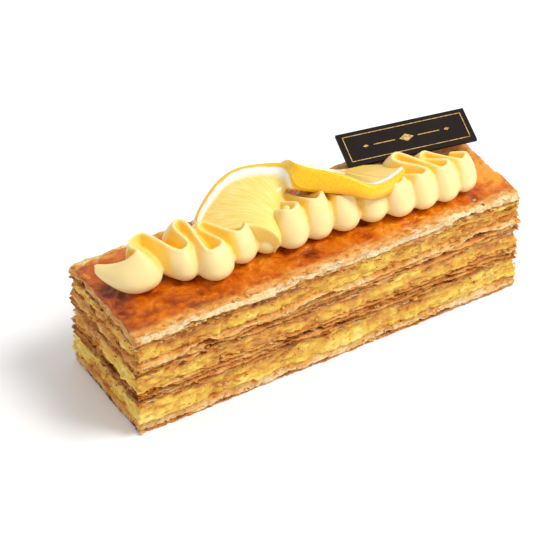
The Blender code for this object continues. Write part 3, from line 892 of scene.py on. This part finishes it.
def lemon_points(u, w, side):
    """Points of the slice: u along the cut edge, w from it to the rind, side -1 to 1."""
    yaw, pitch = math.radians(LEMON_YAW), math.radians(LEMON_PITCH)
    along = np.array([math.cos(yaw) * math.cos(pitch), math.sin(yaw) * math.cos(pitch),
                      math.sin(pitch)])
    back = np.array([-math.sin(yaw), math.cos(yaw), 0.0])
    up = np.cross(along, back)
    lean = np.radians(natural(STATIONS, LEMON_TWIST, u))[:, None]
    thick = natural((-1, -0.5, 0, 0.5, 1), LEMON_THICK, u) / 2
    reach = np.cos(lean) * up + np.sin(lean) * back
    face = np.sin(lean) * up - np.cos(lean) * back
    hinge = LEMON_HINGE * np.sqrt(np.clip(1 - u * u, 0, 1))
    run = u * LEMON_R + natural(STATIONS, LEMON_SLIDE, u)
    return (np.array(LEMON_AT) + run[:, None] * along
            + ((w - hinge) * LEMON_R)[:, None] * reach
            + natural(STATIONS, LEMON_LIFT, u)[:, None] * up
            + natural(STATIONS, LEMON_SWAY, u)[:, None] * back
            + (side * thick)[:, None] * face)


# %% Wrapping a grid into the lemon
def lemon_slice(across, around):
    drop_selection()
    bpy.ops.mesh.primitive_grid_add(x_subdivisions=across, y_subdivisions=around, size=1.0)
    obj = bpy.context.object
    raw = np.empty(len(obj.data.vertices) * 3)
    obj.data.vertices.foreach_get("co", raw)
    raw = raw.reshape(-1, 3)
    u = -np.cos(math.pi * (0.5 + raw[:, 0] * 0.955))
    turn = (raw[:, 1] + 0.5) % 1.0
    top = np.sqrt(1 - u * u)
    floor = np.zeros(len(u))
    for _ in range(160):
        near = np.zeros(len(u), bool)
        for face in (-1, 1):
            q = lemon_points(u, floor, face + 0 * u)
            foot = PLAQUE_FOOT[1] + (q[:, 0] - PLAQUE_FOOT[0]) * PLAQUE_SLOPE
            behind = q[:, 1] > np.minimum(LEMON_BACK, foot - 1.0)
            near |= (q[:, 2] < LID + 0.5) | ((q[:, 0] > 2.5) & behind)
        floor += np.where(near & (floor < top - 0.12), 0.008, 0)
    # the section: up one face, over the rind, down the other face, back along the cut
    part = np.array([0.0, 0.42, 0.54, 0.96, 1.0])
    w_at = np.interp(turn, part, [0, 1, 1, 0, 0])
    side = np.interp(turn, part, [-1, -1, 1, 1, -1])
    peel = np.clip(1 - abs(turn - 0.48) / 0.06, 0, 1)
    w = floor + (top - floor) * w_at
    dist = (top - w) * LEMON_R
    arc = np.sqrt(np.clip(1 - side**2, 0, 1)) * (peel > 0)
    w = w + 0.5 / LEMON_R * arc
    round_off = np.clip(1 - dist / 0.7, 0, 1) ** 2 * (peel <= 0)
    side = side * (1 - 0.16 * round_off - 0.1 * (peel > 0) * (1 - arc))
    spoke = np.arctan2(w, u)
    flesh = np.clip((dist - 3.2) / 0.8, 0, 1) * (peel <= 0)
    seg = np.abs(((spoke / math.pi * 5 + 0.15) % 1.0) - 0.5) * 2
    cells = unevenness(np.stack([spoke * 30, dist, 5 * side], 1), (1.2, 3.0, 1.0), 41)
    sunk = flesh * (0.28 + 0.015 * cells - 0.18 * np.clip((seg - 0.9) / 0.1, 0, 1))
    side = side * (1 - 2 * sunk / natural((-1, -0.5, 0, 0.5, 1), LEMON_THICK, u))
    p = lemon_points(u, w, side)
    set_points(obj, p)
    mark(obj, "rind", dist)
    mark(obj, "peel", peel)
    mark(obj, "spoke", spoke)
    mark(obj, "facing", side)
    mark(obj, "station", u)
    return obj


lemon = lemon_slice(220, 150)
only(lemon)
bpy.ops.object.mode_set(mode="EDIT")
bpy.ops.mesh.select_all(action="SELECT")
bpy.ops.mesh.remove_doubles(threshold=0.00001)
bpy.ops.mesh.select_all(action="DESELECT")
bpy.ops.mesh.select_mode(type="EDGE")
bpy.ops.mesh.select_non_manifold()
bpy.ops.mesh.fill_holes(sides=0)
bpy.ops.mesh.select_all(action="SELECT")
bpy.ops.mesh.normals_make_consistent(inside=False)
bpy.ops.mesh.select_mode(type="VERT")
bpy.ops.object.mode_set(mode="OBJECT")
lemon.data.shade_smooth()
print("lemon:", len(lemon.data.polygons), "faces")

# %% [markdown]
# ## The finish of lemon
# From outside in: yellow zest full of oil glands half a millimetre across, white pith, then
# pulp in wet cells that run towards the middle of the fruit. The mesh tells the material how
# far each point lies from the rind, so the rings follow the twist.

# %% Lemon
def lemon_finish():
    mat = new_finish("lemon")
    where = add(mat, "TexCoord", out="Object")
    rind = add(mat, "Attribute", attribute_name="rind", out="Fac")
    peel = add(mat, "Attribute", attribute_name="peel", out="Fac")
    spoke = add(mat, "Attribute", attribute_name="spoke", out="Fac")
    pulp_place = add(mat, "CombineXYZ", {"X": add(mat, "Math", {0: spoke, 1: 26.0},
                                                   operation="MULTIPLY"),
                                         "Y": add(mat, "Math", {0: rind, 1: 0.22},
                                                  operation="MULTIPLY")})
    cells = add(mat, "TexNoise", {"Vector": pulp_place, "Scale": 1.0, "Detail": 3.0,
                                  "Roughness": 0.5}, out="Fac")
    pulp = add(mat, "ValToRGB", {"Fac": cells}, stops=[
        (0.25, "#F8CE5C"), (0.45, "#FCD974"), (0.6, "#FEE084"), (0.8, "#FFE9A4")])
    facing = add(mat, "Attribute", attribute_name="facing", out="Fac")
    station = add(mat, "Attribute", attribute_name="station", out="Fac")
    right = add(mat, "MapRange", {"Value": station, "From Min": 0.1, "From Max": 0.35})
    top_face = add(mat, "MapRange", {"Value": facing, "From Min": 0.0, "From Max": -0.5})
    thin = add(mat, "Math", {0: right, 1: top_face}, operation="MULTIPLY")
    pulp = add(mat, "Mix", {0: thin, 6: pulp, 7: "#FFD268"}, out=2, data_type="RGBA")
    wobble = add(mat, "TexNoise", {"Vector": where, "Scale": 300.0, "Detail": 2.0}, out="Fac")
    edge = add(mat, "Math", {0: wobble, 1: 1.2, 2: rind}, operation="MULTIPLY_ADD")
    in_pulp = add(mat, "MapRange", {"Value": edge, "From Min": 3.6, "From Max": 5.4})
    in_pith = add(mat, "MapRange", {"Value": edge, "From Min": 1.7, "From Max": 2.2})
    glands = add(mat, "TexVoronoi", {"Vector": where, "Scale": 1150.0}, out="Distance")
    zest = add(mat, "ValToRGB", {"Fac": glands}, stops=[
        (0.05, "#F6B402"), (0.3, "#FDC306"), (0.8, "#FFCB12")])
    # Painted shade: on the right part the lower edge of the peel band, towards the cream, is mixed to
    # deep orange for shade and warm bounce light.
    low_edge = add(mat, "MapRange", {"Value": facing, "From Min": 0.0, "From Max": 1.0})
    painted_shade_low = add(mat, "Math", {0: right, 1: low_edge}, operation="MULTIPLY")
    zest = add(mat, "Mix", {0: painted_shade_low, 6: zest, 7: "#EE9600"}, out=2, data_type="RGBA")
    one = add(mat, "Mix", {0: in_pith, 6: zest, 7: "#FFFCF0"}, out=2, data_type="RGBA")
    two = add(mat, "Mix", {0: in_pulp, 6: one, 7: pulp}, out=2, data_type="RGBA")
    on_peel = add(mat, "MapRange", {"Value": peel, "From Min": 0.0, "From Max": 0.15})
    colour = add(mat, "Mix", {0: on_peel, 6: two, 7: zest}, out=2, data_type="RGBA")
    soft = add(mat, "Math", {0: wobble, 1: 0.5}, operation="MULTIPLY")
    height = add(mat, "Mix", {0: on_peel, 2: soft, 3: glands}, out=0, data_type="FLOAT")
    bump = add(mat, "Bump", {"Height": height, "Strength": 0.22, "Distance": 0.0003})
    shader = add(mat, "BsdfPrincipled", {"Base Color": colour, "Roughness": 0.3,
                                         "Normal": bump, "Coat Weight": 0.6,
                                         "Coat Normal": bump,
                                         "Coat Roughness": 0.1, "IOR": 1.38,
                                         "Subsurface Weight": 0.3,
                                         "Subsurface Radius": (1.0, 0.7, 0.15),
                                         "Subsurface Scale": 0.0015})
    return show(mat, shader)


finish_piece(lemon, "twisted_lemon", lemon_finish(), "lemon", "lemon_slice")

# %% [markdown]
# ## The chocolate plaque
# A sheet of dark chocolate, cast a millimetre thick and cut to a strip. A cube is given the
# strip's size and its edges are bevelled; then it is leant back and turned. It carries a thin
# gilded border and a small lozenge, a plain confectioner's ornament.

# %% The plaque
PLAQUE_SIZE = (38.2, 11.6, 1.0)


def lean_plaque():
    """Turn what is selected from lying flat with its foot on the X axis to its place."""
    lean = math.radians(90.0 - PLAQUE_LEAN)
    bpy.ops.transform.rotate(value=-lean, orient_axis="X", center_override=(0, 0, 0))
    bpy.ops.transform.rotate(value=-math.radians(PLAQUE_TURN), orient_axis="Z",
                             center_override=(0, 0, 0))
    bpy.ops.transform.translate(value=[c * MM for c in PLAQUE_FOOT])


def chocolate_plaque():
    drop_selection()
    bpy.ops.mesh.primitive_cube_add(size=1.0)
    plate = bpy.context.object
    bpy.ops.object.mode_set(mode="EDIT")
    bpy.ops.transform.resize(value=[s * MM for s in PLAQUE_SIZE])
    bpy.ops.transform.translate(value=(0, PLAQUE_SIZE[1] / 2 * MM, 0))
    bpy.ops.mesh.bevel(offset=0.14 * MM, segments=3)
    lean_plaque()
    bpy.ops.object.mode_set(mode="OBJECT")
    return plate


plate = chocolate_plaque()
p = points_of(plate)
print("plaque from", p.min(0).round(1), "to", p.max(0).round(1))
print("solid from", *[c.round(1) for c in box_mm("chocolate_plaque")])

# %% Dark chocolate
def dark_chocolate():
    mat = new_finish("dark chocolate")
    where = add(mat, "TexCoord", out="Object")
    bloom = add(mat, "TexNoise", {"Vector": where, "Scale": 160.0, "Detail": 3.0}, out="Fac")
    colour = add(mat, "ValToRGB", {"Fac": bloom}, stops=[(0.3, "#120803"), (0.7, "#1C0F07")])
    grain = add(mat, "TexNoise", {"Vector": where, "Scale": 2200.0, "Detail": 2.0}, out="Fac")
    bump = add(mat, "Bump", {"Height": grain, "Strength": 0.05, "Distance": 0.0002})
    shader = add(mat, "BsdfPrincipled", {"Base Color": colour, "Roughness": 0.5,
                                         "Normal": bump, "IOR": 1.45,
                                         "Specular IOR Level": 0.22})
    return show(mat, shader)


finish_piece(plate, "plaque", dark_chocolate(), "dark_chocolate", "chocolate_plaque")

# %% [markdown]
# ## A gilded ornament
# Each stroke of the ornament is a flat cube laid on the plaque while it still lies flat: a thin
# rule along the border, a lozenge in the middle, a short line and a dot on either side. All of
# them are then leant back together with the same function as the plaque.

# %% The ornament
STROKES = [(0, 1.5, 35.0, 0.22), (0, 10.1, 35.0, 0.22), (-17.5, 5.8, 0.22, 8.82),
           (17.5, 5.8, 0.22, 8.82), (-6.6, 5.8, 6.4, 0.26), (6.6, 5.8, 6.4, 0.26)]
LOZENGES = [(0, 5.8, 2.3), (-12.0, 5.8, 0.9), (12.0, 5.8, 0.9)]


def gilt_ornament():
    drop_selection()
    bpy.ops.mesh.primitive_cube_add(size=1.0)
    gilt = bpy.context.object
    bpy.ops.object.mode_set(mode="EDIT")
    bpy.ops.mesh.delete(type="VERT")
    level = PLAQUE_SIZE[2] / 2 * MM
    for x, y, wide, tall in STROKES:
        bpy.ops.mesh.primitive_cube_add(size=1.0)
        bpy.ops.transform.resize(value=(wide * MM, tall * MM, 0.12 * MM))
        bpy.ops.transform.translate(value=(x * MM, y * MM, level))
    for x, y, size in LOZENGES:
        bpy.ops.mesh.primitive_cube_add(size=1.0)
        bpy.ops.transform.rotate(value=math.radians(45), orient_axis="Z",
                                 center_override=(0, 0, 0))
        bpy.ops.transform.resize(value=(size * 1.3 * MM, size * 0.8 * MM, 0.12 * MM))
        bpy.ops.transform.translate(value=(x * MM, y * MM, level))
    bpy.ops.mesh.select_all(action="SELECT")
    lean_plaque()
    bpy.ops.object.mode_set(mode="OBJECT")
    return gilt


def gilding():
    """Edible gold rubbed on thinly: a warm metal, a little worn."""
    mat = new_finish("gilding")
    where = add(mat, "TexCoord", out="Object")
    worn = add(mat, "TexNoise", {"Vector": where, "Scale": 1400.0, "Detail": 2.0}, out="Fac")
    colour = add(mat, "ValToRGB", {"Fac": worn}, stops=[(0.35, "#A87C3A"), (0.6, "#E2BC76")])
    return show(mat, add(mat, "BsdfPrincipled", {"Base Color": colour, "Metallic": 0.35,
                                                 "Roughness": 0.45}))


finish_piece(gilt_ornament(), "gilt_ornament", gilding(), "dark_chocolate")

# %% [markdown]
# ## A smear of cream
# Where the lemon was pressed in, some butter cream was pushed up against its cut face. Spheres
# of different sizes are laid along the cut, a Remesh modifier melts them into one lump and a
# Smooth modifier takes away the joints: the quickest way to a soft shape without any plan.

# %% The smear at the foot of the lemon
SMEAR = [(-9.6, -4.4, 39.0, 1.9), (-8.3, -4.6, 40.1, 2.0), (-7.1, -4.7, 41.2, 1.8),
         (-6.3, -4.2, 42.5, 1.5), (-5.7, -3.4, 43.8, 1.1), (-10.8, -5.0, 38.2, 1.8),
         (-7.9, -6.2, 38.9, 1.6), (-9.2, -5.9, 38.2, 1.5), (-6.5, -5.6, 40.4, 1.3)]


def cream_smear():
    drop_selection()
    balls = []
    for x, y, z, size in SMEAR:
        bpy.ops.mesh.primitive_uv_sphere_add(segments=16, ring_count=10, radius=size * MM,
                                             location=(x * MM, y * MM, z * MM))
        balls.append(bpy.context.object)
    smear = joined(balls)
    only(smear)
    bpy.ops.object.transform_apply()
    weld = smear.modifiers.new("weld", "REMESH")
    weld.mode, weld.voxel_size = "VOXEL", 0.22 * MM
    soften = smear.modifiers.new("soften", "SMOOTH")
    soften.factor, soften.iterations = 0.6, 8
    apply_all(smear)
    p = points_of(smear)
    middle = p.mean(0)
    away = (p - middle) / np.linalg.norm(p - middle, axis=1)[:, None]
    set_points(smear, p + away * (0.22 * unevenness(p, 1.6, 71))[:, None])
    mark(smear, "fold", np.full(len(p), 0.05))
    smear.data.shade_smooth()
    return smear


finish_piece(cream_smear(), "cream_smear", cream_finish, "piped_butter_cream")

# %% [markdown]
# ## Flakes and crumbs
# Brittle leaf sheds flakes: curled chips a millimetre or two across, lying on the lid near its
# edge and hanging from the torn sides. A chip is a disc of ten corners with a thickness, bent
# over a random axis. Crumbs are the same chip made small and thick. All chips of a kind are one
# mesh, since nobody would model a thousand crumbs by hand.

# %% Scattered chips
def chips(places, sizes, thick, curl, toast_and_shade, seed):
    """A closed chip at every place, turned at random; places and sizes in millimetres."""
    pick = np.random.default_rng(seed)
    count, n = len(places), 10
    a = 2 * np.pi * np.arange(n) / n
    radius = np.asarray(sizes)[:, None] / 2 * pick.uniform(0.55, 1.0, (count, n))
    long_way = pick.uniform(1.0, 2.0, count)[:, None]
    x, y = radius * np.cos(a) * long_way, radius * np.sin(a)
    bend = curl * (x**2 + 0.6 * y**2) / np.asarray(sizes)[:, None]
    rings = [np.stack([x, y, bend + side * thick / 2], 2) for side in (-1, 1)]
    hubs = [np.tile([0, 0, side * thick / 2], (count, 1, 1)) for side in (-1, 1)]
    body = np.concatenate([rings[0], hubs[0], rings[1], hubs[1]], 1)
    turn, tip = pick.uniform(0, 2 * np.pi, count), pick.normal(0, 0.3, count)
    ca, sa, cb, sb = np.cos(turn), np.sin(turn), np.cos(tip), np.sin(tip)
    spin = np.stack([np.stack([ca, -sa * cb, sa * sb], 1), np.stack([sa, ca * cb, -ca * sb], 1),
                     np.stack([0 * sb, sb, cb], 1)], 1)
    body = np.einsum("cij,cnj->cni", spin, body) + np.asarray(places)[:, None]
    one = []
    for i in range(n):
        j = (i + 1) % n
        one += [(j, i, n), (n + 1 + i, n + 1 + j, 2 * n + 1), (i, j, n + 1 + j),
                (i, n + 1 + j, n + 1 + i)]
    faces = (np.array(one)[None] + (2 * n + 2) * np.arange(count)[:, None, None]).reshape(-1, 3)
    mesh = bpy.data.meshes.new("chips")
    mesh.from_pydata((body.reshape(-1, 3) * MM).tolist(), [], faces.tolist())
    obj = bpy.data.objects.new("chips", mesh)
    bpy.context.collection.objects.link(obj)
    tint = np.clip(toast_and_shade + 0.15 * pick.normal(size=count), 0, 1)
    mark(obj, "toast_and_shade", np.repeat(tint, 2 * n + 2))
    return obj


def along_sides(count, low, high, out, seed):
    """Random places on the four sides between two heights, a little outside the block."""
    pick = np.random.default_rng(seed)
    run = pick.uniform(0, 2 * (LENGTH + WIDTH), count)
    z = pick.uniform(low, high, count)
    places = []
    for r, height in zip(run, z):
        reach = out * pick.uniform(-1, 1)
        if r < 2 * LENGTH:
            side = -1 if r < LENGTH else 1
            places.append((r % LENGTH - LENGTH / 2, side * (WIDTH / 2 + reach), height))
        else:
            r -= 2 * LENGTH
            side = -1 if r < WIDTH else 1
            places.append((side * (LENGTH / 2 + reach), r % WIDTH - WIDTH / 2, height))
    return np.array(places)


pick = np.random.default_rng(8)
edge_x = pick.uniform(-LENGTH / 2 + 1, LENGTH / 2 - 1, 160)
edge_y = (WIDTH / 2 - 0.4 - abs(pick.normal(0, 0.8, 160))) * pick.choice([-1, 1], 160)
lid_chips = np.stack([edge_x, edge_y, np.full(160, 33.0)], 1)
finish_piece(chips(lid_chips, pick.uniform(0.4, 1.5, 160), 0.12, 0.12, 0.36, 9), "lid_flakes",
             pastry_finish, "flaky_pastry")
finish_piece(chips(along_sides(900, 1.0, 31.0, 0.35, 10), pick.uniform(0.4, 1.5, 900), 0.16,
                   0.15, 0.4, 11), "side_flakes", pastry_finish, "flaky_pastry")
finish_piece(chips(along_sides(1300, 0.6, 31.5, 0.3, 12), pick.uniform(0.2, 0.5, 1300), 0.2,
                   0.0, 0.5, 13), "crumbs", pastry_finish, "flaky_pastry")

# %% [markdown]
# ## Floor, light and camera
# The slice stands on a plain pale floor under a white sky, with one large soft lamp in front
# and to the right, so that shadows fall softly to the back and left. The camera looks down at
# about forty degrees with a long lens.

# %% Floor
drop_selection()
bpy.ops.mesh.primitive_plane_add(size=6.0, location=(0, 0, -0.00005))
floor = bpy.context.object
floor.name = "floor"
paper = new_finish("white paper")
show(paper, add(paper, "BsdfPrincipled", {"Base Color": "#FFFFFF", "Roughness": 0.9}))
floor.data.materials.append(paper)

# %% Light
world = bpy.data.worlds.new("white sky")
bpy.context.scene.world = world
world.use_nodes = True
world.node_tree.nodes["Background"].inputs["Color"].default_value = (1, 1, 1, 1)
world.node_tree.nodes["Background"].inputs["Strength"].default_value = 0.66


def lamp(name, place, size, power):
    """A square soft lamp aimed at the middle of the slice."""
    light = bpy.data.lights.new(name, "AREA")
    light.size, light.energy = size, power
    obj = bpy.data.objects.new(name, light)
    bpy.context.collection.objects.link(obj)
    obj.location = place
    aim = Vector(place) - Vector((0, 0, 0.02))
    obj.rotation_euler = aim.to_track_quat("Z", "Y").to_euler()
    return obj


lamp("key", (0.5, -0.38, 0.9), 0.5, 9.0)
bpy.context.scene.view_settings.view_transform = "Standard"

# %% Camera
def portrait_camera():
    azimuth, rise = math.radians(-31.42), math.radians(39.26)
    back = Vector((math.sin(azimuth) * math.cos(rise), -math.cos(azimuth) * math.cos(rise),
                   math.sin(rise)))
    lens = bpy.data.cameras.new("portrait")
    camera = bpy.data.objects.new("portrait", lens)
    bpy.context.collection.objects.link(camera)
    camera.location = Vector((0, 0, 0.01674)) + back * 0.8554
    camera.rotation_euler = back.to_track_quat("Z", "Y").to_euler()
    lens.sensor_width, lens.lens = 36.0, 200.28
    lens.shift_x, lens.shift_y = -0.0321, -0.0104
    lens.clip_start = 0.01
    return camera


bpy.context.scene.camera = portrait_camera()

# %% Tidy up
for blank in blanks.values():
    bpy.data.objects.remove(blank, do_unlink=True)
print("solid, mm:", [[round(c / MM, 2) for c in corner] for corner in cad_box])
